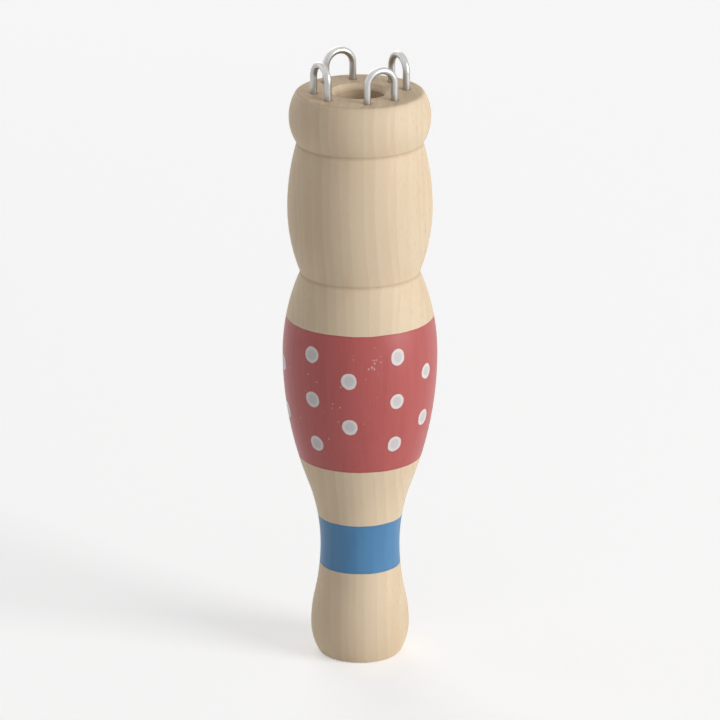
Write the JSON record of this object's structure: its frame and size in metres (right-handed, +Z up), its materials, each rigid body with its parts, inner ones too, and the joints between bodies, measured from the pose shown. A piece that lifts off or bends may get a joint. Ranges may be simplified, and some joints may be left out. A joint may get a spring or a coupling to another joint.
{
  "type": "spool knitting doll",
  "caption": "Turned wooden doll with a through bore and arched wire staples in its crown, for knitting i-cord by hand.",
  "frame": {"origin": "centre of the flat base that the doll stands on", "axes": "+Z up along the bore, -Y towards the doll's front, +X to the right"},
  "size_m": [0.0352, 0.0352, 0.142],
  "materials": {
    "wood": "sanded pale hardwood with satin painted bands",
    "wire": "drawn bright steel wire"
  },
  "bodies": {
    "root": {"doll_body": "wood", "staple_right": "wire", "staple_back": "wire", "staple_left": "wire", "staple_front": "wire"}
  },
  "joints": []
}
